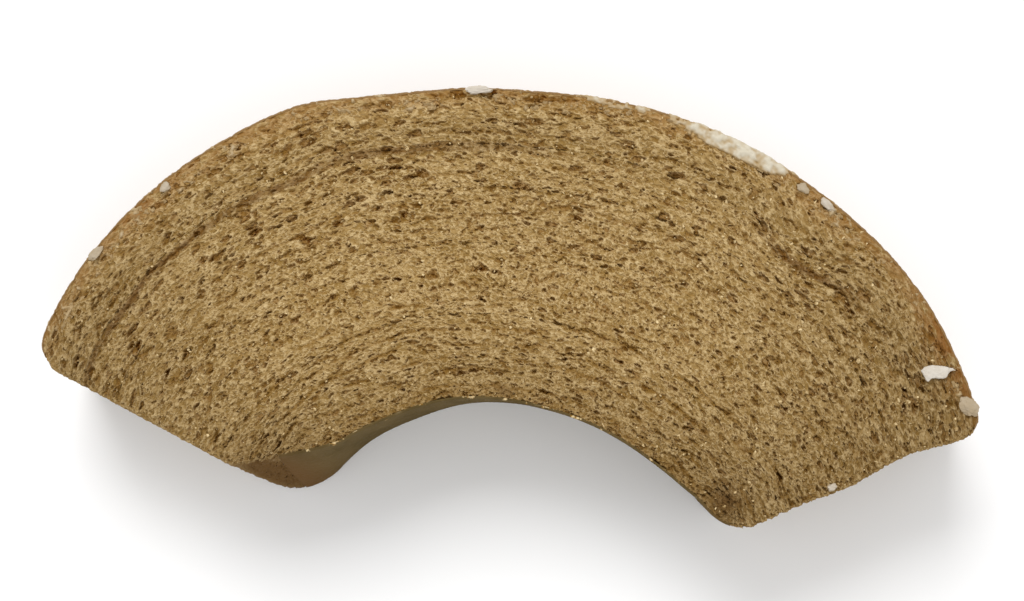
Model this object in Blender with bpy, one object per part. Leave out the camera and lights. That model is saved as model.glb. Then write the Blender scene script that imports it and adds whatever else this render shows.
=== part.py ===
"""A cut piece of baumkuchen, rather more than a third of the ring, lying on its flat cut face.

The cake is a block lattice bent into the ring. Its u runs from the right-hand cut to the
left-hand cut, v from the bore to the browned rim, and w from the base to the upper face.
The layers of batter, one for each turn in the oven, lie at equal steps of v.
Lengths are in metres, and angles in degrees anticlockwise from +X about the ring's centre.
"""
import math
import random

import bmesh
import bpy
from mathutils import Vector, noise

# The whole piece
THICKNESS = 0.030
RING_CENTRE = (0.00015, -0.04620)
LAYERS = 22
DARK_JOINT = 18

# Radius of the rim and of the bore by angle, uneven as the batter ran
RIM = ((18, 0.0772), (28, 0.0786), (38, 0.0798), (52, 0.0800), (70, 0.0800), (86, 0.0797),
       (92, 0.0802), (100, 0.0808), (106, 0.0820), (112, 0.0838), (122, 0.0843), (130, 0.0845),
       (140, 0.0841), (148, 0.0831), (158, 0.0808))
BORE = ((18, 0.0353), (28, 0.0346), (34, 0.0335), (40, 0.0327), (48, 0.0320), (60, 0.0315),
        (76, 0.0314), (90, 0.0321), (104, 0.0330), (119, 0.0338), (134, 0.0354), (158, 0.0372))
BORE_TAPER = 0.0006

# The two cuts: the right one is torn a little near the rim, and the left one leans out at the base
RIGHT_CUT = ((0.036, 18.4), (0.042, 18.9), (0.048, 19.6), (0.056, 19.8), (0.065, 21.1),
             (0.072, 20.6), (0.082, 20.3))
LEFT_CUT = 152.2
LEFT_LEAN = 0.0028

# Rounding of each upright corner: reach along the wall, reach along the cut, and how full it is
CORNERS = {
    ("right", "bore"): (0.0056, 0.0056, 2.0),
    ("right", "rim"): (0.0036, 0.0036, 2.0),
    ("left", "rim"): (0.0045, 0.0045, 2.0),
    ("left", "bore"): (0.0120, 0.0110, 1.3),
}
LEFT_BORE_AT_BASE = (0.0078, 0.0078, 2.0)
EDGE_ROUND = 0.0007

# Relief of the crumb
JOINT_DIP = 0.00040
DARK_LINE_DIP = 0.00060
CRUMB_RELIEF = 0.00030
WALL_RELIEF = 0.00025
RELIEF_SCALE = 260.0

# Lattice of the block
COLUMNS = 64
ROWS = 2 * LAYERS
LEVELS = 4

# Sugar glaze left on the upper edge: angle, radius, length, width, thickness and turn
FLAKES = (
    (28.9, 0.0750, 0.0048, 0.0018, 0.0011, 113),
    (23.9, 0.0773, 0.0030, 0.0024, 0.0008, 24),
    (92.4, 0.0797, 0.0037, 0.0012, 0.0010, 0),
    (51.2, 0.0786, 0.0022, 0.0011, 0.0008, -8),
    (54.4, 0.0786, 0.0016, 0.0010, 0.0007, 5),
    (128.7, 0.0832, 0.0016, 0.0013, 0.0008, 20),
    (138.9, 0.0834, 0.0022, 0.0014, 0.0009, 0),
    (20.9, 0.0534, 0.0014, 0.0010, 0.0007, 70),
)
GLAZE_PATCH = (62.0, 0.0787, 0.0156, 0.0022, 0.0009, 0)
FLAKE_SINK = 0.00012

# Flakes that still cling to the browned wall, placed by a seeded draw
WALL_FLAKES = 5
WALL_FLAKE_SEED = 11
WALL_FLAKE_ANGLES = (34.0, 144.0)

CRUMB_COLOUR = (0.300, 0.191, 0.074)
CRUMB_ROUGHNESS = 0.85


def clear_scene():
    """Remove every object, so that the script gives the same scene each time."""
    for thing in list(bpy.data.objects):
        bpy.data.objects.remove(thing, do_unlink=True)


def new_collection(name):
    """Make a collection in the scene."""
    collection = bpy.data.collections.new(name)
    bpy.context.scene.collection.children.link(collection)
    return collection


def mix(first, second, share):
    """Value that lies the given share of the way from first to second."""
    return first + (second - first) * share


def smooth_curve(knots, x):
    """Value at x of a smooth curve through the knots, each an x and a value."""
    last = len(knots) - 2
    step = 0
    while step < last and x > knots[step + 1][0]:
        step += 1
    before = knots[max(step - 1, 0)]
    start = knots[step]
    end = knots[step + 1]
    after = knots[min(step + 2, len(knots) - 1)]
    width = end[0] - start[0]
    slope_in = (end[1] - before[1]) / (end[0] - before[0]) * width
    slope_out = (after[1] - start[1]) / (after[0] - start[0]) * width
    t = min(max((x - start[0]) / width, 0.0), 1.0)
    rise = end[1] - start[1]
    curl = slope_in + slope_out - 2.0 * rise
    return start[1] + t * (slope_in + t * (3.0 * rise - 2.0 * slope_in - slope_out + t * curl))


def soften(first, second, reach_first, reach_second, fullness=2.0):
    """Draw a point near a square corner back onto a rounded one.

    first and second are its distances from the two sides that meet in the corner.
    """
    x = 1.0 - first / reach_first
    y = 1.0 - second / reach_second
    if x <= 0.0 or y <= 0.0:
        return first, second
    pull = max(x, y) / (x ** fullness + y ** fullness) ** (1.0 / fullness)
    return (1.0 - x * pull) * reach_first, (1.0 - y * pull) * reach_second


def joint_dip(v):
    """How far a cut surface sinks at v, in full at each joint between two layers."""
    return JOINT_DIP * (0.5 + 0.5 * math.cos(2.0 * math.pi * LAYERS * v))


def dark_line_dip(u, v):
    """Extra sinking along the overbaked joint, which fades out towards the right-hand cut."""
    off = (v - DARK_JOINT / LAYERS) * LAYERS
    fade = min(max((u - 0.25) * 3.0, 0.0), 1.0)
    return DARK_LINE_DIP * fade * math.exp(-4.0 * off * off)


def corner_rounding(side, wall, w):
    """Rounding of an upright corner at height w, from 0 at the base to 1 at the face."""
    face = CORNERS[side, wall]
    if (side, wall) != ("left", "bore"):
        return face
    return tuple(mix(low, high, w) for low, high in zip(LEFT_BORE_AT_BASE, face))


def ring_point(angle, radius, height):
    """Point in the part's frame for an angle and a radius about the ring's centre."""
    turn = math.radians(angle)
    x = RING_CENTRE[0] + radius * math.cos(turn)
    y = RING_CENTRE[1] + radius * math.sin(turn)
    return Vector((x, y, height))


def cake_point(u, v, w):
    """Point of the cake's surface for lattice values from 0 to 1."""
    w = 0.5 - 0.5 * math.cos(math.pi * w)
    rough_radius = mix(BORE[0][1], RIM[0][1], v)
    right = smooth_curve(RIGHT_CUT, rough_radius)
    left = LEFT_CUT + math.degrees(LEFT_LEAN * (1.0 - w) / rough_radius)
    angle = mix(right, left, u)
    bore = smooth_curve(BORE, angle) - BORE_TAPER * (1.0 - w)
    rim = smooth_curve(RIM, angle)
    radius = mix(bore, rim, v)

    # Distances from the nearer cut and from the nearer wall
    side = "left" if u > 0.5 else "right"
    wall = "rim" if v > 0.5 else "bore"
    from_cut = min(u, 1.0 - u) * math.radians(left - right) * radius
    from_wall = min(v, 1.0 - v) * (rim - bore)
    from_face = min(w, 1.0 - w) * THICKNESS

    # The sharp edges are rubbed off, and then the upright corners
    nearest = min(from_cut, from_wall)
    drawn_in, drawn_down = soften(nearest, from_face, EDGE_ROUND, EDGE_ROUND)
    if from_cut == nearest:
        from_cut += drawn_in - nearest
    if from_wall == nearest:
        from_wall += drawn_in - nearest
    along, across, fullness = corner_rounding(side, wall, w)
    from_cut, from_wall = soften(from_cut, from_wall, along, across, fullness)

    # Back to a radius and an angle
    radius = rim - from_wall if wall == "rim" else bore + from_wall
    sweep = math.degrees(from_cut / radius)
    angle = left - sweep if side == "left" else right + sweep
    height = THICKNESS - drawn_down if w > 0.5 else drawn_down

    # Relief of the walls, of the two cuts and of the upper face
    point = ring_point(angle, radius, height)
    swell = WALL_RELIEF * noise.noise(point * RELIEF_SCALE)
    if v in (0.0, 1.0):
        radius += swell
    elif u in (0.0, 1.0):
        turn = math.degrees((swell - 0.6 * joint_dip(v)) / radius)
        angle += turn if side == "left" else -turn
    if w == 1.0 and 0.0 < v < 1.0:
        height += CRUMB_RELIEF * noise.noise(point * RELIEF_SCALE * 1.7)
        height -= joint_dip(v) + dark_line_dip(u, v)
    return ring_point(angle, radius, height)


def lattice_block(columns, rows, levels):
    """Cube from 0 to 1 whose surface is split into a lattice."""
    block = bmesh.new()
    bmesh.ops.create_cube(block, size=1.0)
    bmesh.ops.translate(block, vec=(0.5, 0.5, 0.5), verts=block.verts)
    for axis, parts in enumerate((columns, rows, levels)):
        along = [edge for edge in block.edges
                 if abs(edge.verts[0].co[axis] - edge.verts[1].co[axis]) > 0.5]
        bmesh.ops.subdivide_edges(block, edges=along, cuts=parts - 1, use_grid_fill=True)
    return block


def make_cake(collection):
    """The cake itself: the lattice block, bent into the ring and roughened."""
    block = lattice_block(COLUMNS, ROWS, LEVELS)
    for vert in block.verts:
        u, v, w = (round(value, 6) for value in vert.co)
        vert.co = cake_point(u, v, w)

    # The base lies flat, so its lattice is taken out again
    floor = [face for face in block.faces if all(vert.co.z < 1e-7 for vert in face.verts)]
    bmesh.ops.dissolve_faces(block, faces=floor, use_verts=True)
    bmesh.ops.recalc_face_normals(block, faces=block.faces)
    mesh = bpy.data.meshes.new("cake")
    block.to_mesh(mesh)
    block.free()
    cake = bpy.data.objects.new("baumkuchen_slice", mesh)
    collection.objects.link(cake)
    return cake


def make_flake(collection, flake, height, detail=2, upright=False):
    """A flat, uneven flake of sugar that follows the curve of the rim.

    upright turns the flake's width up the wall instead of in across the face.
    """
    angle, radius, length, width, thickness, turn = flake
    shape = bmesh.new()
    bmesh.ops.create_icosphere(shape, subdivisions=detail, radius=1.0)
    rim_here = smooth_curve(RIM, angle)
    cosine = math.cos(math.radians(turn))
    sine = math.sin(math.radians(turn))
    for vert in shape.verts:
        seat = Vector((angle, radius * 500.0, height * 90.0))
        uneven = 1.0 + 0.30 * noise.noise(vert.co * 1.6 + seat)
        x = 0.5 * length * vert.co.x * uneven
        y = 0.5 * width * vert.co.y * uneven
        z = 0.5 * thickness * vert.co.z
        along = x * cosine - y * sine
        across = x * sine + y * cosine
        out, rise = (z, across) if upright else (across, z)
        here = angle - math.degrees(along / radius)
        swell = smooth_curve(RIM, here) - rim_here
        vert.co = ring_point(here, radius + swell + out, height + rise)
    bmesh.ops.recalc_face_normals(shape, faces=shape.faces)
    mesh = bpy.data.meshes.new("flake")
    shape.to_mesh(mesh)
    shape.free()
    collection.objects.link(bpy.data.objects.new("flake", mesh))


def make_sugar(collection):
    """All the flakes of glaze, on the upper edge and on the wall."""
    for flake in FLAKES:
        make_flake(collection, flake, THICKNESS - FLAKE_SINK)
    make_flake(collection, GLAZE_PATCH, THICKNESS - FLAKE_SINK, detail=3)
    draw = random.Random(WALL_FLAKE_SEED)
    first, last = WALL_FLAKE_ANGLES
    for number in range(WALL_FLAKES):
        angle = mix(first, last, (number + draw.uniform(0.2, 0.8)) / WALL_FLAKES)
        height = THICKNESS * draw.uniform(0.2, 0.8)
        length = draw.uniform(0.0025, 0.0045)
        width = length * draw.uniform(0.4, 0.7)
        turn = draw.uniform(-40.0, 40.0)
        flake = (angle, smooth_curve(RIM, angle), length, width, 0.0009, turn)
        make_flake(collection, flake, height, upright=True)


def join_sugar(cake, collection):
    """Fuse the flakes to the cake, so that it stays one solid."""
    union = cake.modifiers.new("sugar", "BOOLEAN")
    union.operation = "UNION"
    union.operand_type = "COLLECTION"
    union.collection = collection
    union.solver = "EXACT"
    depsgraph = bpy.context.evaluated_depsgraph_get()
    joined = bpy.data.meshes.new_from_object(cake.evaluated_get(depsgraph))
    cake.modifiers.remove(union)
    plain = cake.data
    cake.data = joined
    joined.name = "baumkuchen_slice"
    bpy.data.meshes.remove(plain)
    for flake in list(collection.objects):
        bpy.data.objects.remove(flake, do_unlink=True)
    bpy.data.collections.remove(collection)


def crumb_material():
    """Plain golden brown crumb."""
    material = bpy.data.materials.new("crumb")
    material.use_nodes = True
    surface = material.node_tree.nodes["Principled BSDF"]
    surface.inputs["Base Color"].default_value = (*CRUMB_COLOUR, 1.0)
    surface.inputs["Roughness"].default_value = CRUMB_ROUGHNESS
    surface.inputs["Metallic"].default_value = 0.0
    return material


def main():
    """Build the piece."""
    clear_scene()
    parts = new_collection("baumkuchen")
    sugar = new_collection("sugar")
    cake = make_cake(parts)
    make_sugar(sugar)
    join_sugar(cake, sugar)
    cake.data.materials.clear()
    cake.data.materials.append(crumb_material())
    cake.data.shade_smooth()
    cake.data.set_sharp_from_angle(angle=math.radians(40.0))


main()
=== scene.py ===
"""A cut piece of baumkuchen: crumb in thin layers, browned rim, baked bore and remnants of sugar glaze."""
import math
import random

import bmesh
import bpy
import numpy as np
from mathutils import Matrix, Vector, noise


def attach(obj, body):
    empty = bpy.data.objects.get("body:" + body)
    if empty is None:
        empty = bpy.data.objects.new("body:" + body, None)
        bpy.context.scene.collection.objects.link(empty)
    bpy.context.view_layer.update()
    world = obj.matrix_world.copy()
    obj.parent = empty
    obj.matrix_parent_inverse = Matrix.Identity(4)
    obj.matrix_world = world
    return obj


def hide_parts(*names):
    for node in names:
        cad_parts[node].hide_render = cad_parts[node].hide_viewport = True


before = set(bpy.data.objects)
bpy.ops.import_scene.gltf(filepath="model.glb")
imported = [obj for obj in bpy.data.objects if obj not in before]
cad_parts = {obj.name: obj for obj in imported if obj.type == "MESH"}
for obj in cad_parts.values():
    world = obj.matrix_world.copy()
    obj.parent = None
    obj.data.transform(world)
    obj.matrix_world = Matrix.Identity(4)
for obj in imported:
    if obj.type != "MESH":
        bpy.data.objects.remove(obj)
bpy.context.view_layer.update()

# The layers of crumb
# The sponge is baked on a turning spit, one thin layer of batter for each turn. The layers are made in
# groups that meet at a joint, each a closed block. One rule roughens them all with joints, pores and grain.
THICKNESS = 0.030
RING_CENTRE = (0.00015, -0.04620)
LAYERS = 22
LAYER_MM = 2.2
MIDDLE_RADIUS_MM = 57.0
RIM = ((18, 0.0772), (28, 0.0786), (38, 0.0798), (52, 0.0800), (70, 0.0800), (86, 0.0797),
       (92, 0.0802), (100, 0.0808), (106, 0.0820), (112, 0.0838), (122, 0.0843), (130, 0.0845),
       (140, 0.0841), (148, 0.0831), (158, 0.0808))
BORE = ((18, 0.0353), (28, 0.0346), (34, 0.0335), (40, 0.0327), (48, 0.0320), (60, 0.0315),
        (76, 0.0314), (90, 0.0321), (104, 0.0330), (119, 0.0338), (134, 0.0354), (158, 0.0372))
BORE_TAPER = 0.0006
RIGHT_CUT = ((0.036, 18.4), (0.042, 18.9), (0.048, 19.6), (0.056, 19.8), (0.065, 21.1),
             (0.072, 20.6), (0.082, 20.3))
LEFT_CUT = 152.2
LEFT_LEAN = 0.0028
CORNERS = {
    ("right", "bore"): (0.0056, 0.0056, 2.0),
    ("right", "rim"): (0.0036, 0.0036, 2.0),
    ("left", "rim"): (0.0045, 0.0045, 2.0),
    ("left", "bore"): (0.0120, 0.0110, 1.3),
}
LEFT_BORE_AT_BASE = (0.0078, 0.0078, 2.0)
RIM_RADIUS = RIM[4][1]
BORE_RADIUS = BORE[6][1]
SWEEP = math.radians(LEFT_CUT - RIGHT_CUT[2][1])
EDGE_ROUND = 0.0007
FACE_BAND = 0.0008
CALM_NEAR_RIM = 0.0016
CALMEST = 0.3
WALL_ROUGH_DEPTH = 0.00038

# The groups of layers, by the joints between which they lie, and the skins on both sides of them
GROUP_JOINTS = (0, 6, 11, 15, 18, 22)
GROUP_NAMES = ("innermost_layers", "inner_layers", "middle_layers", "outer_layers", "outermost_layers")
CRUST_DEPTH = 0.009
SKIN_DEPTH = 0.008
FINE_STEP = 0.000155
HIDDEN_STEPS = 24

# One joint is overbaked. It wanders inwards by angle, in millimetres, and the layers near it go with it
DARK_JOINT = 18
DARK_JOINT_INWARDS = ((18, 0.0), (42, 0.0), (48, 2.0), (53, 2.0), (60, 0.0), (80, 0.6), (92, 0.4), (100, 0.2),
                      (107, 0.3), (112, 1.3), (116, 1.8), (121, 1.1), (132, 1.1), (137, 0.5), (141, 0.8),
                      (148, 0.5), (153, 1.6))
LAYERS_BENT = 4.0
# How often the crumb's patterns repeat along, across and up the layers, per millimetre: large pores, small
# pores, grain and pits, and how they are drawn out where the layers are pressed and where they are open
CRUMB_SCALES = ((0.52, 1.05, 0.52), (1.05, 1.75, 1.05), (1.5, 1.75, 1.5), (0.62, 1.05, 0.62))
PRESSED_SCALE = (0.66, 1.26, 1.0)
OPEN_SCALE = (1.08, 0.95, 1.0)
# The crumb opens at this place across the layers, in millimetres, with what noise adds to the place
OPEN_FROM_MM = (22.0, 24.0)
OPEN_BORDER_MM = 16.0
# The share of cells that hold a pore, and its largest radius in cells: large pores towards the bore and
# towards the rim, and small ones away from a joint and at one. A pale ring lies round each
LARGE_PORE_SHARE = 0.20
SMALL_PORE_SHARE = 0.36
LARGE_PORE_RADIUS = (0.50, 0.74)
SMALL_PORE_RADIUS = (0.58, 0.82)
PORE_EDGE = (0.0, 0.20)
RING_OUTSIDE = (-0.16, -0.02)
RING_INSIDE = (0.08, 0.0)
# How far from its middle a joint fades out, and how much stronger it is where the layers are pressed
JOINT_FADES_MM = (0.50, 0.05)
OVERBAKED_FADES_MM = (0.95, 0.25)
PRESSED_JOINT = 1.7
# Levels of noise at which a pit opens, and at which a wall stands, with the distance where it fades out
PIT_LEVEL = (0.45, 0.30)
WALL_LEVEL = 0.52
WALL_FADES = (0.040, 0.004)
# How strongly the overbaked joint and the browned rim show by angle, and how the crumb darkens towards the
# cuts, towards the bore, and in some stains by angle, radius, reach and strength
DARK_STRENGTH = ((18, 0.0), (40, 0.2), (44, 0.6), (50, 0.7), (54, 0.4), (60, 0.0), (82, 0.1), (86, 0.3),
                 (92, 0.5), (100, 0.65), (108, 0.6), (112, 0.4), (117, 0.8), (124, 0.5), (132, 0.6),
                 (138, 0.75), (146, 0.6), (156, 0.4))
BROWN_BY_ANGLE = ((16, 0.3), (22, 0.4), (25, 0.8), (28, 1.0), (31, 1.0), (36, 0.75), (42, 0.5),
                  (55, 0.45), (69, 0.60), (75, 0.45), (100, 0.5), (125, 0.45), (133, 0.7), (138, 0.5),
                  (158, 0.40))
BROWNED_REACH_MM = (1.0, 3.6)
STAIN_ON_FACE = 0.6
STAINS = ((26.4, 0.0380, 0.0028, 1.9), (151.3, 0.0440, 0.0048, 1.0), (150.5, 0.0385, 0.0052, 0.78),
          (87.0, 0.0333, 0.0008, 0.9), (88.8, 0.0334, 0.0010, 1.0), (90.6, 0.0336, 0.0008, 0.8))
SHADE_BY_ANGLE = ((16, 1.0), (24, 0.8), (40, 0.38), (58, 0.06), (110, 0.0), (130, 0.15), (144, 0.5),
                  (156, 0.8))
# Painted shade: the darkening rises again at the rim, where the calmer crumb casts less shade of its own
SHADE_ACROSS = ((0.0, 0.7), (0.12, 0.45), (0.26, 0.18), (0.42, 0.06), (0.6, 0.13), (0.78, 0.18),
                (0.87, 0.40), (0.94, 0.12), (1.0, 0.30))


def mix(first, second, share):
    """Value that lies the given share of the way from first to second."""
    return first + (second - first) * share


def smooth_curve(knots, x):
    """Values at x of a smooth curve through the knots, each an x and a value."""
    at, value = np.array(knots).T
    step = np.clip(np.searchsorted(at, x) - 1, 0, len(at) - 2)
    before = np.maximum(step - 1, 0)
    after = np.minimum(step + 2, len(at) - 1)
    width = at[step + 1] - at[step]
    rise = value[step + 1] - value[step]
    slope_in = (value[step + 1] - value[before]) / (at[step + 1] - at[before]) * width
    slope_out = (value[after] - value[step]) / (at[after] - at[step]) * width
    t = np.clip((x - at[step]) / width, 0.0, 1.0)
    bend = 3.0 * rise - 2.0 * slope_in - slope_out + t * (slope_in + slope_out - 2.0 * rise)
    return value[step] + t * (slope_in + t * bend)


def soften(first, second, reach_first, reach_second, fullness=2.0):
    """Draw points near a square corner back onto a rounded one, by their distances from its sides."""
    x = 1.0 - first / reach_first
    y = 1.0 - second / reach_second
    inside = (x > 0.0) & (y > 0.0)
    x_in = np.where(inside, x, 0.5)
    y_in = np.where(inside, y, 0.5)
    pull = np.maximum(x_in, y_in) / (x_in ** fullness + y_in ** fullness) ** (1.0 / fullness)
    return (np.where(inside, (1.0 - x_in * pull) * reach_first, first),
            np.where(inside, (1.0 - y_in * pull) * reach_second, second))


def ring_points(angle, radius, height):
    """Points in the frame for angles and radii about the ring's centre."""
    turn = np.radians(angle)
    x = RING_CENTRE[0] + radius * np.cos(turn)
    y = RING_CENTRE[1] + radius * np.sin(turn)
    return np.stack([x, y, height + 0.0 * x], axis=-1)


def place_in_ring(u, v, w):
    """Angle, radius and height for lattice values from 0 to 1, with how near the cuts and walls are.

    u runs from the right-hand cut to the left-hand one, v from the bore to the rim, w from base to face.
    """
    rough_radius = mix(BORE[0][1], RIM[0][1], v)
    right = smooth_curve(RIGHT_CUT, rough_radius)
    left = LEFT_CUT + np.degrees(LEFT_LEAN * (1.0 - w) / rough_radius)
    angle = mix(right, left, u)
    bore = smooth_curve(BORE, angle) - BORE_TAPER * (1.0 - w)
    rim = smooth_curve(RIM, angle)
    radius = mix(bore, rim, v)
    from_cut = np.minimum(u, 1.0 - u) * np.radians(left - right) * radius
    from_wall = np.minimum(v, 1.0 - v) * (rim - bore)
    from_face = np.minimum(w, 1.0 - w) * THICKNESS
    at_cut = np.clip(1.0 - from_cut / EDGE_ROUND, 0.0, 1.0)
    at_wall = np.clip(1.0 - from_wall / WALL_ROUGH_DEPTH, 0.0, 1.0)

    # The sharp edges are rubbed off first
    nearest = np.minimum(from_cut, from_wall)
    drawn_in, drawn_down = soften(nearest, from_face, EDGE_ROUND, EDGE_ROUND)
    from_cut = np.where(from_cut <= nearest, drawn_in, from_cut)
    from_wall = np.where(from_wall <= nearest, drawn_in, from_wall)

    # Then the four upright corners
    at_left = u > 0.5
    at_rim = v > 0.5
    for (side, wall), shape in CORNERS.items():
        here = (at_left == (side == "left")) & (at_rim == (wall == "rim"))
        along, across, fullness = shape
        if (side, wall) == ("left", "bore"):
            along, across, fullness = (mix(low, high, w) for low, high in zip(LEFT_BORE_AT_BASE, shape))
        cut_in, wall_in = soften(from_cut, from_wall, along, across, fullness)
        from_cut = np.where(here, cut_in, from_cut)
        from_wall = np.where(here, wall_in, from_wall)

    radius = np.where(at_rim, rim - from_wall, bore + from_wall)
    sweep = np.degrees(from_cut / radius)
    angle = np.where(at_left, left - sweep, right + sweep)
    height = np.where(w > 0.5, THICKNESS - drawn_down, drawn_down)
    across_layers = (radius - bore) / (rim - bore)
    return angle, radius, height, across_layers, at_cut, at_wall, from_wall, at_left, at_rim


def cake_lattice(u, v, w):
    """Points of the cake, with their place in the layers in millimetres and their way inwards."""
    angle, radius, height, across_layers, at_cut, at_wall, from_wall, at_left, at_rim = place_in_ring(u, v, w)
    points = ring_points(angle, radius, height)
    bent = np.exp(-((across_layers * LAYERS - DARK_JOINT) / LAYERS_BENT) ** 2)
    layer_place = across_layers * LAYERS * LAYER_MM + bent * smooth_curve(DARK_JOINT_INWARDS, angle)
    layer_co = np.stack([np.radians(angle) * MIDDLE_RADIUS_MM, layer_place, height * 1000.0], axis=-1)
    turn = np.radians(angle)
    outward = np.stack([np.cos(turn), np.sin(turn), 0.0 * turn], axis=-1)
    onward = np.stack([-np.sin(turn), np.cos(turn), 0.0 * turn], axis=-1)
    at_base = np.clip(1.0 - height / EDGE_ROUND, 0.0, 1.0)
    at_face = np.clip(1.0 - (THICKNESS - height) / EDGE_ROUND, 0.0, 1.0)

    # The crumb is calmer beside the browned rim
    calm = np.where(at_rim, np.clip(from_wall / CALM_NEAR_RIM, CALMEST, 1.0), 1.0)
    inward = ((at_base - at_face) * calm)[..., None] * np.array([0.0, 0.0, 1.0])
    inward = inward + (at_cut * calm * np.where(at_left, -1.0, 1.0))[..., None] * onward
    inward = inward + (at_wall * np.where(at_rim, -1.0, 1.0))[..., None] * outward
    length = np.linalg.norm(inward, axis=-1, keepdims=True)
    shade = smooth_curve(SHADE_BY_ANGLE, angle) + smooth_curve(SHADE_ACROSS, across_layers)
    return points, layer_co, inward / np.maximum(length, 1.0), angle, shade


def zip_rows(first, second):
    """Triangles between two rows of points that run side by side, whatever their numbers."""
    faces = []
    i = 0
    j = 0
    steps_first = len(first) - 1
    steps_second = len(second) - 1
    while i < steps_first or j < steps_second:
        first_lags = (i + 1) * steps_second <= (j + 1) * steps_first
        if i < steps_first and (j == steps_second or first_lags):
            faces.append((first[i], first[i + 1], second[j]))
            i += 1
        else:
            faces.append((first[i], second[j + 1], second[j]))
            j += 1
    return faces


def grid_faces(index, turned=False):
    """Quads of a grid of point numbers."""
    corners = [index[:-1, :-1], index[1:, :-1], index[1:, 1:], index[:-1, 1:]]
    if turned:
        corners.reverse()
    return np.stack(corners, axis=-1).reshape(-1, 4).tolist()


def block_surface(columns, rows, levels, ratio, side_steps):
    """Closed surface of the block from 0 to 1 in a, b and c, fine at c = 1 and coarse at c = 0.

    A belt joins the two. Its faces at a = 0 and 1 have rows / ratio steps, and those at b = 0 and 1
    have side_steps, because on some blocks they are hidden.
    """
    few_columns = columns // ratio
    few_rows = rows // ratio
    fine_a, fine_b = np.meshgrid(np.linspace(0, 1, columns + 1), np.linspace(0, 1, rows + 1), indexing="ij")
    rough_a, rough_b = np.meshgrid(np.linspace(0, 1, few_columns + 1), np.linspace(0, 1, few_rows + 1),
                                   indexing="ij")
    across = np.linspace(0, 1, few_rows + 1)
    along = np.linspace(0, 1, side_steps + 1)
    belt_a = np.concatenate([0 * across[:-1], along[:-1], 1 + 0 * across[:-1], along[:0:-1]])
    belt_b = np.concatenate([across[:-1], 1 + 0 * along[:-1], across[:0:-1], 0 * along[:-1]])
    belt_c = np.linspace(1, 0, levels + 1)[1:-1]
    a = np.concatenate([fine_a.ravel(), rough_a.ravel(), np.tile(belt_a, len(belt_c))])
    b = np.concatenate([fine_b.ravel(), rough_b.ravel(), np.tile(belt_b, len(belt_c))])
    c = np.concatenate([1 + 0 * fine_a.ravel(), 0 * rough_a.ravel(), np.repeat(belt_c, len(belt_a))])

    fine = np.arange(fine_a.size).reshape(fine_a.shape)
    rough = fine.size + np.arange(rough_a.size).reshape(rough_a.shape)
    belt = fine.size + rough.size + np.arange(len(belt_c) * len(belt_a)).reshape(len(belt_c), -1)
    belt = np.concatenate([belt, belt[:, :1]], axis=1)
    faces = grid_faces(fine) + grid_faces(rough, turned=True) + grid_faces(belt.T)
    stops = np.cumsum([0, few_rows, side_steps, few_rows, side_steps])
    fine_sides = (fine[0, :], fine[:, -1], fine[-1, ::-1], fine[::-1, 0])
    rough_sides = (rough[0, :], rough[:, -1], rough[-1, ::-1], rough[::-1, 0])
    for number, (fine_side, rough_side) in enumerate(zip(fine_sides, rough_sides)):
        stretch = slice(stops[number], stops[number + 1] + 1)
        faces += zip_rows(fine_side.tolist(), belt[0, stretch].tolist())
        faces += zip_rows(belt[-1, stretch].tolist(), rough_side.tolist())
    return a, b, c, faces


def outward_mesh(name, points, faces):
    """Mesh of a closed surface, with its faces turned outwards."""
    mesh = bpy.data.meshes.new(name)
    mesh.from_pydata(points.tolist(), [], faces)
    mesh.update()
    mesh.calc_loop_triangles()
    triangles = np.empty(len(mesh.loop_triangles) * 3, dtype=np.int32)
    mesh.loop_triangles.foreach_get("vertices", triangles)
    corners = points[triangles.reshape(-1, 3)]
    volume = np.einsum("ij,ij->i", corners[:, 0], np.cross(corners[:, 1], corners[:, 2])).sum()
    if volume < 0.0:
        mesh.flip_normals()
    return mesh


def lattice_piece(name, a, b, c, faces, lattice):
    """Object for a block whose lattice function gives u, v and w for a, b and c."""
    u, v, w = lattice(a, b, c)
    points, layer_co, inward, angle, shade = cake_lattice(u, v, w)
    mesh = outward_mesh(name, points, faces)
    strength = smooth_curve(BROWN_BY_ANGLE, angle)
    from_rim = np.maximum(LAYERS * LAYER_MM - layer_co[:, 1], 0.0)
    browned = strength * np.exp(-(from_rim / mix(*BROWNED_REACH_MM, strength)) ** 2)
    stain = 0.0 * angle
    weaker_on_face = np.where(points[:, 2] > THICKNESS - FACE_BAND, STAIN_ON_FACE, 1.0)
    for stain_angle, radius, reach, strongest in STAINS:
        off = np.linalg.norm(points[:, :2] - ring_points(stain_angle, radius, 0.0)[:2], axis=1)
        stain += strongest * np.exp(-(off / reach) ** 2) * weaker_on_face
    for title, values in (("layer_co", layer_co), ("inward", inward)):
        layer = mesh.attributes.new(title, "FLOAT_VECTOR", "POINT")
        layer.data.foreach_set("vector", values.astype(np.float32).ravel())
    for title, values in (("dark", smooth_curve(DARK_STRENGTH, angle)), ("shade", shade),
                          ("browned", browned), ("stain", stain)):
        mesh.attributes.new(title, "FLOAT", "POINT").data.foreach_set("value", values.astype(np.float32))
    piece = bpy.data.objects.new(name, mesh)
    bpy.context.scene.collection.objects.link(piece)
    return piece


def feed(tree, socket, value):
    """Link an output to an input socket, or set a constant on it."""
    if isinstance(value, bpy.types.NodeSocket):
        tree.links.new(value, socket)
    else:
        socket.default_value = value


def add_node(tree, kind, inputs=None, **settings):
    """Add a node with its settings, and feed its inputs by name or position."""
    made = tree.nodes.new(kind)
    for name, value in settings.items():
        setattr(made, name, value)
    for key, value in (inputs or {}).items():
        feed(tree, made.inputs[key], value)
    return made


def calculate(tree, operation, *values):
    """Output of a math node."""
    return add_node(tree, "ShaderNodeMath", dict(enumerate(values)), operation=operation).outputs[0]


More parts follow.
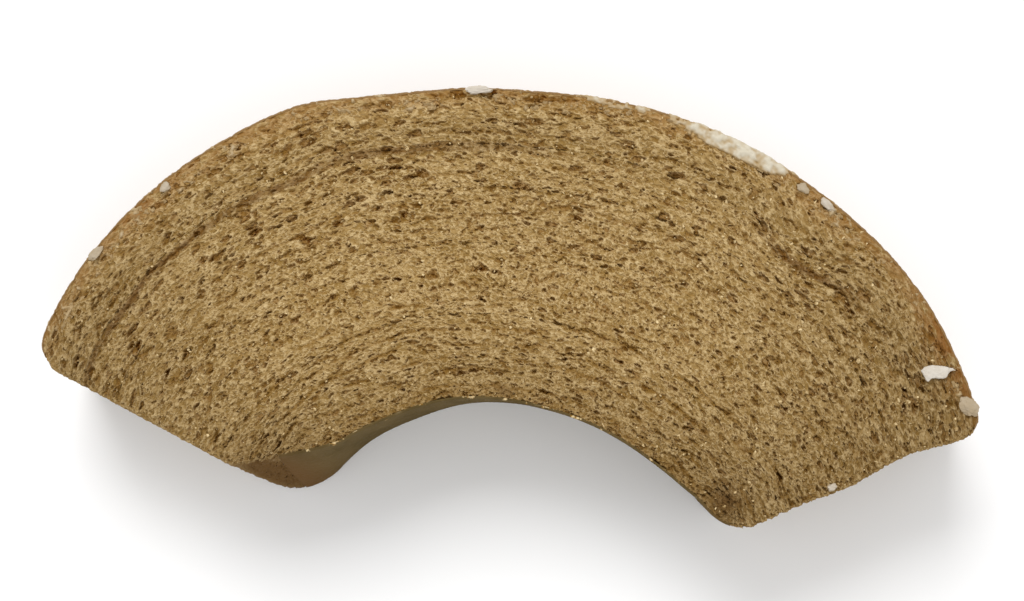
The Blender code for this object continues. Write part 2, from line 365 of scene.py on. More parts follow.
def move(tree, operation, *values):
    """Output of a vector math node."""
    return add_node(tree, "ShaderNodeVectorMath", dict(enumerate(values)), operation=operation).outputs[0]


def scaled(tree, vector, factor):
    """Vector times a factor."""
    return add_node(tree, "ShaderNodeVectorMath", {0: vector, "Scale": factor}, operation="SCALE").outputs[0]


def component(tree, vector, axis):
    """Component of a vector, by 0, 1 or 2."""
    return add_node(tree, "ShaderNodeSeparateXYZ", {0: vector}).outputs[axis]


def between(tree, share, low, high):
    """Value that lies the given share of the way from one number to another."""
    return calculate(tree, "MULTIPLY_ADD", share, high - low, low)


def ramp(tree, value, low, high):
    """Value brought from between low and high to between 0 and 1, with soft ends."""
    inputs = {"Value": value, "From Min": low, "From Max": high}
    return add_node(tree, "ShaderNodeMapRange", inputs, interpolation_type="SMOOTHSTEP").outputs[0]


def noise_at(tree, place, stretch, detail=2.0, roughness=0.5, output=0):
    """Noise at a place in millimetres, stretched differently along, across and up the layers."""
    inputs = {"Vector": move(tree, "MULTIPLY", place, stretch), "Scale": 1.0, "Detail": detail,
              "Roughness": roughness}
    return add_node(tree, "ShaderNodeTexNoise", inputs).outputs[output]


def noise_shift(tree, place, stretch, detail, reach):
    """Shift that wanders from place to place, by up to about half of reach either way."""
    drift = noise_at(tree, place, stretch, detail, output="Color")
    return move(tree, "MULTIPLY", move(tree, "SUBTRACT", drift, (0.5, 0.5, 0.5)), reach)


def pores_at(tree, place, stretch, share, present, largest, seed_shift):
    """Round holes of unlike sizes in a share of the cells of a stretched pattern, and their rings."""
    shifted = move(tree, "ADD", move(tree, "MULTIPLY", place, stretch), (seed_shift, seed_shift, 0.0))
    cells = add_node(tree, "ShaderNodeTexVoronoi", {"Vector": shifted, "Scale": 1.0})
    chance = component(tree, cells.outputs["Color"], 0)
    size = calculate(tree, "MULTIPLY", ramp(tree, chance, 1.0 - share, 1.0), present)
    radius = calculate(tree, "MULTIPLY", size, largest)
    over = calculate(tree, "SUBTRACT", radius, cells.outputs["Distance"])
    ring = calculate(tree, "MULTIPLY", ramp(tree, over, *RING_OUTSIDE), ramp(tree, over, *RING_INSIDE))
    return ramp(tree, over, *PORE_EDGE), calculate(tree, "MULTIPLY", ring, ramp(tree, size, 0.0, 0.4))


def blend_values(tree, share, first, second):
    """Value that lies the given share of the way from one output to another."""
    rise = calculate(tree, "SUBTRACT", second, first)
    return calculate(tree, "MULTIPLY_ADD", rise, share, first)


def crumb_rule(tree, layer_co):
    """Joints, large and small pores, pits, grain, walls and overbaked joint, each from 0 to 1."""
    bent = move(tree, "ADD", layer_co, noise_shift(tree, layer_co, (0.10, 0.22, 0.10), 1.0, (2.0, 1.5, 2.0)))
    place = move(tree, "ADD", bent, noise_shift(tree, layer_co, (0.9, 1.5, 0.9), 2.0, (1.5, 0.9, 1.5)))

    # The layers towards the bore are pressed thin, and their pores and joints drawn out long
    across = component(tree, bent, 1)
    border = noise_at(tree, layer_co, (0.12, 0.12, 0.12), 2.0)
    open_crumb = ramp(tree, calculate(tree, "MULTIPLY_ADD", border, OPEN_BORDER_MM, across), *OPEN_FROM_MM)
    pressed = calculate(tree, "SUBTRACT", 1.0, open_crumb)
    from_joint = calculate(tree, "PINGPONG", across, 0.5 * LAYER_MM)
    broken = ramp(tree, noise_at(tree, layer_co, (0.12, 0.5, 0.16), 2.0), 0.42, 0.62)
    joint = calculate(tree, "MULTIPLY", ramp(tree, from_joint, *JOINT_FADES_MM), broken)
    joint = calculate(tree, "MULTIPLY", joint, between(tree, pressed, 1.0, PRESSED_JOINT))

    small_radius = between(tree, ramp(tree, from_joint, 1.0, 0.2), *SMALL_PORE_RADIUS)
    large_radius = between(tree, ramp(tree, across, 8.0, 40.0), *LARGE_PORE_RADIUS)
    pores = []
    noises = []
    for present, drawn_out in ((pressed, PRESSED_SCALE), (open_crumb, OPEN_SCALE)):
        scales = [np.multiply(pattern, drawn_out).tolist() for pattern in CRUMB_SCALES]
        large = pores_at(tree, place, scales[0], LARGE_PORE_SHARE, present, large_radius, 0.0)
        small = pores_at(tree, place, scales[1], SMALL_PORE_SHARE, present, small_radius, 17.3)
        pores.append(large + small)
        noises.append((noise_at(tree, place, scales[2], 2.0, 0.55),
                       noise_at(tree, place, scales[3], 2.5, 0.55)))
    large, large_ring, small, small_ring = (calculate(tree, "MAXIMUM", *pair) for pair in zip(*pores))
    grain, level = (blend_values(tree, open_crumb, *pair) for pair in zip(*noises))
    pit = ramp(tree, level, *PIT_LEVEL)
    off_wall = calculate(tree, "ABSOLUTE", calculate(tree, "SUBTRACT", level, WALL_LEVEL))
    rings = calculate(tree, "MAXIMUM", large_ring, small_ring)
    wall = calculate(tree, "MAXIMUM", ramp(tree, off_wall, *WALL_FADES), rings)
    off_line = calculate(tree, "ABSOLUTE", calculate(tree, "SUBTRACT", across, DARK_JOINT * LAYER_MM))
    line = ramp(tree, off_line, *OVERBAKED_FADES_MM)
    return joint, large, small, pit, grain, wall, line


def geometry_tree(name, values, seed=None):
    """Tree of geometry nodes, and the sockets of its inputs: named values, perhaps a seed, and a material."""
    tree = bpy.data.node_groups.new(name, "GeometryNodeTree")
    tree.is_modifier = True
    tree.interface.new_socket("Geometry", in_out="OUTPUT", socket_type="NodeSocketGeometry")
    tree.interface.new_socket("Geometry", in_out="INPUT", socket_type="NodeSocketGeometry")
    for title in values:
        tree.interface.new_socket(title, in_out="INPUT", socket_type="NodeSocketFloat")
    if seed:
        tree.interface.new_socket(seed, in_out="INPUT", socket_type="NodeSocketInt")
    tree.interface.new_socket("Material", in_out="INPUT", socket_type="NodeSocketMaterial")
    return tree, tree.nodes.new("NodeGroupInput").outputs


def mesh_attribute(tree, name, kind="FLOAT_VECTOR"):
    """Attribute of the mesh, as geometry nodes read it."""
    return add_node(tree, "GeometryNodeInputNamedAttribute", {"Name": name}, data_type=kind).outputs[0]


def put_out(tree, geometry, material):
    """Give the geometry its material, and put it out of the tree."""
    dressed = add_node(tree, "GeometryNodeSetMaterial", {"Geometry": geometry, "Material": material})
    tree.links.new(dressed.outputs[0], tree.nodes.new("NodeGroupOutput").inputs[0])


def relief_tree(name):
    """Geometry nodes that sink a surface along its way inwards by the crumb rule."""
    tree, given = geometry_tree(name, ("Joint depth", "Large pore depth", "Small pore depth", "Pit depth",
                                       "Grain depth", "Wall height", "Overbaked depth"))
    joint, large, small, pit, grain, wall, line = crumb_rule(tree, mesh_attribute(tree, "layer_co"))
    depth = calculate(tree, "MULTIPLY", joint, given["Joint depth"])
    for share, title in ((large, "Large pore depth"), (small, "Small pore depth"), (pit, "Pit depth"),
                         (ramp(tree, grain, 0.62, 0.34), "Grain depth"),
                         (calculate(tree, "SUBTRACT", 1.0, wall), "Wall height"),
                         (calculate(tree, "MULTIPLY", line, mesh_attribute(tree, "dark", "FLOAT")),
                          "Overbaked depth")):
        depth = calculate(tree, "ADD", depth, calculate(tree, "MULTIPLY", share, given[title]))
    offset = scaled(tree, mesh_attribute(tree, "inward"), depth)
    sunk = add_node(tree, "GeometryNodeSetPosition", {"Geometry": given["Geometry"], "Offset": offset})
    real = add_node(tree, "GeometryNodeRealizeInstances", {0: sunk.outputs[0]})
    put_out(tree, real.outputs[0], given["Material"])
    return tree


def apply_tree(piece, tree, values):
    """Run geometry nodes on a piece with the named inputs, and keep the result as its plain mesh."""
    modifier = piece.modifiers.new("nodes", "NODES")
    modifier.node_group = tree
    for item in tree.interface.items_tree:
        if item.item_type == "SOCKET" and item.in_out == "INPUT" and item.name in values:
            modifier[item.identifier] = values[item.name]
    depsgraph = bpy.context.evaluated_depsgraph_get()
    finished = bpy.data.meshes.new_from_object(piece.evaluated_get(depsgraph))
    piece.modifiers.remove(modifier)
    plain = piece.data
    piece.data = finished
    finished.name = piece.name
    bpy.data.meshes.remove(plain)


def colour(red, green, blue):
    """Linear colour of a screen colour from 0 to 255."""
    return tuple((value / 255.0) ** 2.2 for value in (red, green, blue)) + (1.0,)


def blend_colours(tree, share, first, second, mode="MIX"):
    """Output of a colour mix node."""
    inputs = {"Factor": share, 6: first, 7: second}
    return add_node(tree, "ShaderNodeMix", inputs, data_type="RGBA", blend_type=mode).outputs[2]


CRUMB = colour(159, 131, 84)
# The shade colour darkens broad patches of the crumb's own tone, and is painted shade in the low grain
CRUMB_SHADE = colour(132, 102, 51)
# The pale colour is partly painted highlight on walls and grain that stand up, and painted glints
CRUMB_PALE = colour(213, 189, 143)
# Painted shade, partly: the pore colour is the crumb's own darker tone and painted shade in the hollows
PORE_TONE_AND_SHADE = colour(126, 82, 10)
# Painted shade deep in the largest pores
PORE_CORE_SHADE = colour(92, 47, 0)
JOINT = colour(134, 99, 43)
OVERBAKED = colour(100, 68, 36)
STAINED = colour(100, 75, 45)
BROWNED = colour(142, 96, 49)
DARKENED = (0.68, 0.66, 0.64, 1.0)


def crumb_shader_group():
    """Colour, roughness and fine height of the sponge, from its place in the layers."""
    tree = bpy.data.node_groups.new("sponge crumb", "ShaderNodeTree")
    for kind, titles in (("NodeSocketVector", ("Layer place",)),
                         ("NodeSocketFloat", ("Dark joint", "Browning", "Stain", "Darkening")),
                         ("NodeSocketColor", ("Crumb", "Shade", "Pale", "Pore tone and shade", "Pore core shade", "Browned"))):
        for title in titles:
            tree.interface.new_socket(title, in_out="INPUT", socket_type=kind)
    for title, kind in (("Colour", "NodeSocketColor"), ("Roughness", "NodeSocketFloat"),
                        ("Height", "NodeSocketFloat")):
        tree.interface.new_socket(title, in_out="OUTPUT", socket_type=kind)
    given = tree.nodes.new("NodeGroupInput").outputs
    layer_co = given["Layer place"]
    joint, large, small, pit, grain, wall, line = crumb_rule(tree, layer_co)

    # Broad patches, then grain, then the browning of the joints, the rim and the bore
    patch = noise_at(tree, layer_co, (0.14, 0.45, 0.14), 4.0, 0.6)
    fine = noise_at(tree, layer_co, (2.4, 3.2, 2.4), 2.0, 0.6)
    wavy = calculate(tree, "MULTIPLY_ADD", patch, 5.0, component(tree, layer_co, 1))
    ragged = ramp(tree, noise_at(tree, layer_co, (0.5, 0.9, 0.5), 3.0), 0.30, 0.56)
    overbaked = calculate(tree, "MULTIPLY", line, between(tree, ragged, 0.5, 1.0))

    # Each coat has a mask, its strength and its colour
    coats = (
        (ramp(tree, patch, 0.42, 0.68), 0.60, given["Shade"]),
        # Painted shade, partly: the low grain and low fine noise, where relief and bump sink, are darker
        (ramp(tree, grain, 0.50, 0.30), 0.70, given["Shade"]),
        (ramp(tree, fine, 0.50, 0.30), 0.18, given["Shade"]),
        # Painted highlight, partly: high grain, high fine noise and the walls and rings that stand up are
        # paler
        (ramp(tree, grain, 0.52, 0.74), 0.50, given["Pale"]),
        (ramp(tree, fine, 0.56, 0.74), 0.50, given["Pale"]),
        (wall, 0.50, given["Pale"]),
        (joint, 0.40, JOINT),
        (ramp(tree, wavy, 5.2, 3.0), 0.35, JOINT),
        (calculate(tree, "MULTIPLY", given["Browning"], ragged), 1.0, given["Browned"]),
        (calculate(tree, "MULTIPLY", given["Dark joint"], overbaked), 1.0, OVERBAKED),
        # The pits and pores are darker, partly as painted shade in the hollows that the relief sinks there
        (pit, 0.42, given["Pore tone and shade"]),
        (large, 0.48, given["Pore tone and shade"]),
        (small, 0.36, given["Pore tone and shade"]),
        (given["Stain"], 0.85, STAINED),
        # Painted shade in the cores of the deepest pores
        (ramp(tree, calculate(tree, "MULTIPLY", large, pit), 0.20, 0.8), 0.70, given["Pore core shade"]),
    )
    shade = given["Crumb"]
    for share, strength, tint in coats:
        shade = blend_colours(tree, calculate(tree, "MULTIPLY", share, strength), shade, tint)
    # Darkening towards the cuts and the bore, with painted shade at the rim, less where the crumb is stained
    darkening = calculate(tree, "SUBTRACT", given["Darkening"], given["Stain"])
    shade = blend_colours(tree, darkening, shade, DARKENED, "MULTIPLY")
    out = tree.nodes.new("NodeGroupOutput").inputs
    tree.links.new(shade, out["Colour"])
    tree.links.new(between(tree, grain, 0.66, 0.91), out["Roughness"])
    tree.links.new(calculate(tree, "MULTIPLY_ADD", fine, 0.6, grain), out["Height"])
    return tree


def attribute(tree, name):
    """Attribute node of a material."""
    return add_node(tree, "ShaderNodeAttribute", attribute_name=name)


def new_material(name):
    """Material with its node tree."""
    material = bpy.data.materials.new(name)
    material.use_nodes = True
    return material, material.node_tree


def finish_surface(tree, shade, roughness, specular, height, strength, distance):
    """Give a material's surface its colour, roughness and shine, and a fine bump over its height."""
    surface = tree.nodes["Principled BSDF"]
    bump = add_node(tree, "ShaderNodeBump", {"Height": height, "Strength": strength, "Distance": distance})
    feed(tree, surface.inputs["Base Color"], shade)
    feed(tree, surface.inputs["Roughness"], roughness)
    feed(tree, surface.inputs["Normal"], bump.outputs[0])
    surface.inputs["Specular IOR Level"].default_value = specular


def crumb_material(name, group, colours):
    """Sponge material with its own colours."""
    material, tree = new_material(name)
    inputs = {"Layer place": attribute(tree, "layer_co").outputs["Vector"],
              "Dark joint": attribute(tree, "dark").outputs["Fac"],
              "Browning": attribute(tree, "browned").outputs["Fac"],
              "Stain": attribute(tree, "stain").outputs["Fac"],
              "Darkening": attribute(tree, "shade").outputs["Fac"]}
    inputs.update(colours)
    given = add_node(tree, "ShaderNodeGroup", inputs, node_tree=group).outputs
    finish_surface(tree, given["Colour"], given["Roughness"], 0.03, given["Height"], 0.35, 0.00012)
    return material


relief = relief_tree("crumb relief")
sponge = crumb_shader_group()
crumb = crumb_material("crumb", sponge, {"Crumb": CRUMB, "Shade": CRUMB_SHADE, "Pale": CRUMB_PALE,
                                         "Pore tone and shade": PORE_TONE_AND_SHADE, "Pore core shade": PORE_CORE_SHADE, "Browned": BROWNED})
for number, name in enumerate(GROUP_NAMES):
    low = max(GROUP_JOINTS[number] / LAYERS, SKIN_DEPTH)
    high = min(GROUP_JOINTS[number + 1] / LAYERS, 1.0 - CRUST_DEPTH)
    depth = (high - low) * (RIM_RADIUS - BORE_RADIUS)
    arc = SWEEP * mix(BORE_RADIUS, RIM_RADIUS, 0.5 * (low + high))
    columns = 2 * round(0.5 * arc / FINE_STEP)
    rows = 2 * round(0.5 * depth / FINE_STEP)
    levels = round(0.5 * THICKNESS / FINE_STEP)
    a, b, c, faces = block_surface(columns, rows, levels, 2, HIDDEN_STEPS)
    layers = lattice_piece(name, a, b, c, faces, lambda a, b, c: (a, mix(low, high, b), c))
    apply_tree(layers, relief, {"Joint depth": 0.00014, "Large pore depth": 0.00060,
                                "Small pore depth": 0.00034, "Pit depth": 0.00042,
                                "Grain depth": 0.00030, "Wall height": 0.00010,
                                "Overbaked depth": 0.00005, "Material": crumb})
    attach(layers, "root")
    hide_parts("baumkuchen_slice")

# The loose crumbs
# Cutting leaves small broken crumbs on the face. They are scattered over it by geometry nodes that sink each
# one to the roughened surface, and roughen it in turn.
# Painted highlight, partly: the pale crumbs also stand in for small glints on the crumb
LOOSE_CRUMB_AND_GLINT = colour(212, 188, 140)
LOOSE_DENSITY = 240000.0
LOOSE_RADIUS = (0.00010, 0.00032)
LOOSE_STRETCH = ((0.4, 0.4, 0.3), (1.7, 1.2, 0.8))
LOOSE_SINK = 0.0004
LOOSE_SEED = 5
FULL_TURN = (6.28, 6.28, 6.28)
# How finely and how far each one is roughened, in lumps per metre and in metres
LOOSE_LUMPS = (3800.0, 3800.0, 3800.0)
LOOSE_LUMP_SIZE = (0.0004, 0.0004, 0.0004)


def scatter_tree(name):
    """Geometry nodes that scatter small crumbs over the faces they are given."""
    tree, given = geometry_tree(name, ("Density", "Smallest radius", "Largest radius", "Sink"), "Seed")
    spots = add_node(tree, "GeometryNodeDistributePointsOnFaces",
                     {"Mesh": given["Geometry"], "Density": given["Density"], "Seed": given["Seed"]})
    large, small = crumb_rule(tree, mesh_attribute(tree, "layer_co"))[1:3]
    depth = calculate(tree, "MULTIPLY_ADD", calculate(tree, "MAXIMUM", large, small), given["Sink"],
                      given["Largest radius"])
    offset = add_node(tree, "ShaderNodeCombineXYZ", {"Z": calculate(tree, "MULTIPLY", depth, -1.0)})
    sunk = add_node(tree, "GeometryNodeSetPosition", {"Geometry": spots.outputs["Points"],
                                                      "Offset": offset.outputs[0]})
    crumb_shape = add_node(tree, "GeometryNodeMeshUVSphere", {"Segments": 6, "Rings": 4, "Radius": 1.0})
    size = add_node(tree, "FunctionNodeRandomValue",
                    {"Seed": given["Seed"], 2: given["Smallest radius"], 3: given["Largest radius"]},
                    data_type="FLOAT")
    turn = add_node(tree, "FunctionNodeRandomValue", {0: (0.0, 0.0, 0.0), 1: FULL_TURN},
                    data_type="FLOAT_VECTOR")
    stretch = add_node(tree, "FunctionNodeRandomValue", dict(enumerate(LOOSE_STRETCH)),
                       data_type="FLOAT_VECTOR")
    placed = add_node(tree, "GeometryNodeInstanceOnPoints",
                      {"Points": sunk.outputs[0], "Instance": crumb_shape.outputs["Mesh"],
                       "Rotation": turn.outputs[0],
                       "Scale": scaled(tree, stretch.outputs[0], size.outputs[1])})
    real = add_node(tree, "GeometryNodeRealizeInstances", {0: placed.outputs[0]})
    spot = add_node(tree, "GeometryNodeInputPosition").outputs[0]
    push = noise_shift(tree, spot, LOOSE_LUMPS, 2.0, LOOSE_LUMP_SIZE)
    rough = add_node(tree, "GeometryNodeSetPosition", {"Geometry": real.outputs[0], "Offset": push})
    put_out(tree, rough.outputs[0], given["Material"])
    return tree


loose_material, tree = new_material("loose crumbs")
spot = add_node(tree, "ShaderNodeTexCoord").outputs["Object"]
shade = noise_at(tree, spot, (900.0, 900.0, 900.0), 2.0)
shade = blend_colours(tree, ramp(tree, shade, 0.38, 0.66), CRUMB, LOOSE_CRUMB_AND_GLINT)
tree.links.new(shade, tree.nodes["Principled BSDF"].inputs["Base Color"])
tree.nodes["Principled BSDF"].inputs["Roughness"].default_value = 0.55

fine_u, fine_v = np.meshgrid(np.linspace(0.004, 0.996, 121), np.linspace(0.012, 0.988, 41), indexing="ij")
loose = lattice_piece("loose_crumbs", fine_u.ravel(), fine_v.ravel(), 1.0 + 0.0 * fine_u.ravel(),
                      grid_faces(np.arange(fine_u.size).reshape(fine_u.shape)), lambda a, b, c: (a, b, c))
apply_tree(loose, scatter_tree("loose crumbs"), {
    "Density": LOOSE_DENSITY, "Smallest radius": LOOSE_RADIUS[0], "Largest radius": LOOSE_RADIUS[1],
    "Sink": LOOSE_SINK, "Seed": LOOSE_SEED, "Material": loose_material})
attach(loose, "root")
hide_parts("baumkuchen_slice")

# The browned rim
# The last layer of batter is baked brown on the outside, a skin under a millimetre thick that shows as a
# thin line round the cut face. It is a closed shell round the outermost layers, low in relief.
CRUST_STEP = 0.0003
CRUST = colour(148, 112, 68)
CRUST_DARK = colour(118, 84, 50)
CRUST_PALE = colour(184, 152, 104)
# Painted shade along the lit top edge of the rim, and where it fades in, in millimetres below the face
CRUST_EDGE_SHADE = colour(124, 95, 54)
CRUST_EDGE_SHADE_MM = (1.6, 0.3)


def shell_surface(radius, step, levels, ratio=3):
    """Block for a shell as long as the cake is at the radius and as high, coarser inside by the ratio."""
    columns = round(SWEEP * radius / step / ratio)
    rows = round(THICKNESS / step / ratio)
    return block_surface(ratio * columns, ratio * rows, levels, ratio, columns)


def crust_material():
    """Baked brown skin, darker in blotches, with a slight sheen, and painted shade along its top edge."""
    material, tree = new_material("crust")
    place = attribute(tree, "layer_co").outputs["Vector"]
    blotch = noise_at(tree, place, (0.07, 0.5, 0.22), 6.0, 0.62)
    fine = noise_at(tree, place, (1.4, 2.0, 1.4), 3.0, 0.6)
    shade = blend_colours(tree, ramp(tree, blotch, 0.38, 0.64), CRUST, CRUST_DARK)
    shade = blend_colours(tree, calculate(tree, "MULTIPLY", ramp(tree, fine, 0.46, 0.74), 0.4),
                          shade, CRUST_PALE)
    # The top edge is darker: painted shade
    below_face = [1000.0 * THICKNESS - depth for depth in CRUST_EDGE_SHADE_MM]
    shaded_edge = ramp(tree, component(tree, place, 2), *below_face)
    shade = blend_colours(tree, calculate(tree, "MULTIPLY", shaded_edge, 0.85), shade, CRUST_EDGE_SHADE)
    finish_surface(tree, shade, between(tree, fine, 0.42, 0.72), 0.22, fine, 0.4, 0.00015)
    return material


a, b, c, faces = shell_surface(RIM_RADIUS, CRUST_STEP, 4)
crust = lattice_piece("browned_rim", a, b, c, faces, lambda a, b, c: (a, mix(1.0 - CRUST_DEPTH, 1.0, c), b))
apply_tree(crust, relief, {"Joint depth": 0.0, "Large pore depth": 0.00008, "Small pore depth": 0.00006,
                           "Pit depth": 0.00010, "Grain depth": 0.00012, "Material": crust_material()})
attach(crust, "root")
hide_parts("baumkuchen_slice")

# The skin in the bore
# The first layer bakes against the spit, and leaves a smooth dull brown skin in the bore with fine
# streaks along the spit. It is a closed shell inside the innermost layers.
SKIN_STEP = 0.00025
# Painted shade, partly: the skin's browns are darker than its own, for a wall that faces away from the light
SKIN = colour(102, 86, 56)
SKIN_DARK = colour(88, 74, 46)
SKIN_STREAK = colour(140, 124, 92)
# Near the face the skin is torn off the crumb in places, above a height that noise makes ragged
TORN_RAGGED_MM = 14.0
TORN_ABOVE_MM = (37.6, 38.2)


def skin_material():
    """Dull brown skin with pale streaks, and the crumb where it is torn."""
    material, tree = new_material("bore skin")
    place = attribute(tree, "layer_co").outputs["Vector"]
    blotch = noise_at(tree, place, (0.10, 0.4, 0.05), 5.0, 0.65)
    streak = noise_at(tree, place, (0.22, 0.5, 1.6), 3.0, 0.6)
    shade = blend_colours(tree, ramp(tree, blotch, 0.34, 0.70), SKIN, SKIN_DARK)
    shade = blend_colours(tree, calculate(tree, "MULTIPLY", ramp(tree, streak, 0.60, 0.74), 0.5),
                          shade, SKIN_STREAK)
    shade = blend_colours(tree, attribute(tree, "stain").outputs["Fac"], shade, STAINED)
    ragged = noise_at(tree, place, (0.24, 0.5, 0.30), 3.0, 0.6)
    up = calculate(tree, "MULTIPLY_ADD", ragged, TORN_RAGGED_MM, component(tree, place, 2))
    torn = ramp(tree, up, *TORN_ABOVE_MM)
    bits = noise_at(tree, place, (1.5, 1.9, 1.0), 2.0)
    torn_shade = blend_colours(tree, ramp(tree, bits, 0.38, 0.62), JOINT, CRUMB_PALE)
    shade = blend_colours(tree, torn, shade, torn_shade)
    finish_surface(tree, shade, between(tree, streak, 0.60, 0.85), 0.02, streak, 0.3, 0.0001)
    return material


a, b, c, faces = shell_surface(BORE_RADIUS, SKIN_STEP, 3)
skin = lattice_piece("bore_skin", a, b, c, faces, lambda a, b, c: (a, SKIN_DEPTH * (1.0 - c), b))
apply_tree(skin, relief, {"Joint depth": 0.0, "Large pore depth": 0.00004, "Small pore depth": 0.0,
                          "Pit depth": 0.00004, "Grain depth": 0.00006, "Material": skin_material()})
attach(skin, "root")
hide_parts("baumkuchen_slice")

# The glaze on the rim
# A thin sugar glaze has mostly flaked off. A milky patch and flecks are left on the upper edge, and thin
# islands on the wall. Each island is a closed sheet that follows the rim, its thickness ruled by noise.
GLAZE = colour(205, 199, 189)
GLAZE_MILKY = colour(193, 184, 164)
GLAZE_THIN = colour(160, 135, 95)
GLAZE_ANGLES = (23.6, 148.6)
GLAZE_STEP = 0.00018
GLAZE_ROOT = 0.00045
# Its greatest thickness, what noise and pits add and take, and what is worn off everywhere
GLAZE_THICKNESS = 0.00056
GLAZE_PATCHES = (0.00012, 0.00026)
GLAZE_PITS = 0.00022
GLAZE_WORN = 0.00016
# How it thins out down the wall and at the edge itself, and where the wall's own pattern begins
GLAZE_DOWN_WALL = 0.0035
GLAZE_AT_EDGE = 0.0009
GLAZE_WALL_BEGINS = 0.002
# How far an island runs on past its edge, and how steeply and deeply it dives there, as shares of its root
ISLAND_MARGIN = 0.15
ISLAND_STEEP = 5.0
ISLAND_DIVE = 0.9
# How much glaze is left on the edge by angle, and how far it reaches over the face in metres
GLAZE_AMOUNT = ((18, 0.0), (30, 0.0), (49, 0.0), (51.2, 0.3), (53, 0.0), (55.5, 0.3), (57.5, 0.8), (61, 1.0),
                (64, 1.0), (67.8, 1.0), (69.5, 0.45), (71.5, 0.30), (74, 0.50), (77, 0.38), (80, 0.50),
                (82, 0.15), (84, 0.0), (89, 0.05), (92.4, 0.2), (95, 0.15), (98, 0.05), (126, 0.0),
                (128.7, 0.4), (130, 0.05), (137, 0.05), (139, 0.5), (141, 0.1), (155, 0.0))
GLAZE_REACH = ((18, 0.0006), (49, 0.0006), (55.5, 0.0009), (58.5, 0.0026), (66, 0.0028), (68.5, 0.0024),
               (72, 0.0013), (76, 0.0018), (81, 0.0014), (84, 0.0006), (90, 0.0006), (93, 0.0009),
               (98, 0.0006), (126, 0.0005), (140, 0.0008), (155, 0.0005))


def rim_profile(along):
    """Setback from the rim, height and slope of points at distances along the profile from the edge."""
    arc = 0.5 * math.pi * EDGE_ROUND
    slope = np.clip((along + arc) / arc, 0.0, 1.0) * 0.5 * math.pi
    setback = np.where(along < -arc, -along - arc + EDGE_ROUND, EDGE_ROUND * (1.0 - np.sin(slope)))
    height = THICKNESS - EDGE_ROUND * (1.0 - np.cos(slope)) - np.maximum(along, 0.0)
    return setback, height, slope


def noise_over(first, second, scale_first, scale_second, seed, octaves):
    """Fractal noise between about -1 and 1 over two grids of lengths in metres."""
    places = zip((first * scale_first).ravel(), (second * scale_second).ravel())
    values = [noise.fractal((x, y, seed), 0.6, 2.1, octaves) for x, y in places]
    return np.array(values).reshape(first.shape)


def island_sheets(points, normals, heights, root):
    """Closed sheets over the parts of a grid where the height is above zero, rooted under the surface.

    Their edges dive under the surface.
    """
    high = heights > -ISLAND_MARGIN * root
    kept = high[:-1, :-1] | high[1:, :-1] | high[:-1, 1:] | high[1:, 1:]
    for _ in range(4):
        falls = kept[:-1, :-1] & kept[1:, 1:] & ~kept[1:, :-1] & ~kept[:-1, 1:]
        rises = ~kept[:-1, :-1] & ~kept[1:, 1:] & kept[1:, :-1] & kept[:-1, 1:]
        kept[1:, :-1] |= falls
        kept[:-1, :-1] |= rises
    used = np.zeros(high.shape, dtype=bool)
    for i, j in ((0, 0), (1, 0), (0, 1), (1, 1)):
        used[i:i + kept.shape[0], j:j + kept.shape[1]] |= kept
    number = np.full(high.shape, -1)
    number[used] = np.arange(used.sum())
    count = int(used.sum())
    dive = np.maximum(ISLAND_STEEP * heights, -ISLAND_DIVE * root)
    lift = np.where(heights > 0.0, heights, dive)[..., None]
    top = (points + normals * lift)[used]
    bottom = (points - normals * root)[used]
    i, j = np.nonzero(kept)
    corners = np.stack([number[i, j], number[i + 1, j], number[i + 1, j + 1], number[i, j + 1]], axis=1)
    faces = corners.tolist() + (corners[:, ::-1] + count).tolist()
    around = np.pad(kept, 1)
    for side, (di, dj) in enumerate(((0, -1), (1, 0), (0, 1), (-1, 0))):
        open_side = ~around[i + 1 + di, j + 1 + dj]
        first = corners[open_side, side]
        second = corners[open_side, (side + 1) % 4]
        faces += np.stack([second, first, first + count, second + count], axis=1).tolist()
    thickness = np.concatenate([heights[used], 0.0 * heights[used]])
    return np.concatenate([top, bottom]), faces, thickness


def sugar_material(name, white_colour, clear_colour, thin, full, clear):
    """Dry white glaze that shows what is under it where it is thinner than full."""
    material, tree = new_material(name)
    place = scaled(tree, add_node(tree, "ShaderNodeTexCoord").outputs["Object"], 1000.0)
    cloud = noise_at(tree, place, (0.9, 0.9, 0.9), 3.0, 0.6)
    thickness = calculate(tree, "MULTIPLY_ADD", cloud, 0.5 * full,
                          calculate(tree, "SUBTRACT", attribute(tree, "thick").outputs["Fac"], 0.25 * full))
    white = ramp(tree, thickness, thin, full)
    shade = blend_colours(tree, between(tree, white, clear, 1.0), clear_colour, white_colour)
    finish_surface(tree, shade, 0.55, 0.35, cloud, 0.3, 0.0001)
    return material


def glaze_piece(name, points, faces, thickness, material):
    """Piece of glaze from a closed surface, with its thickness at each point."""
    mesh = outward_mesh(name, points, faces)
    mesh.attributes.new("thick", "FLOAT", "POINT").data.foreach_set("value", thickness.astype(np.float32))
    mesh.materials.append(material)
    piece = bpy.data.objects.new(name, mesh)
    bpy.context.scene.collection.objects.link(piece)
    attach(piece, "root")
    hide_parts("baumkuchen_slice")
    return piece


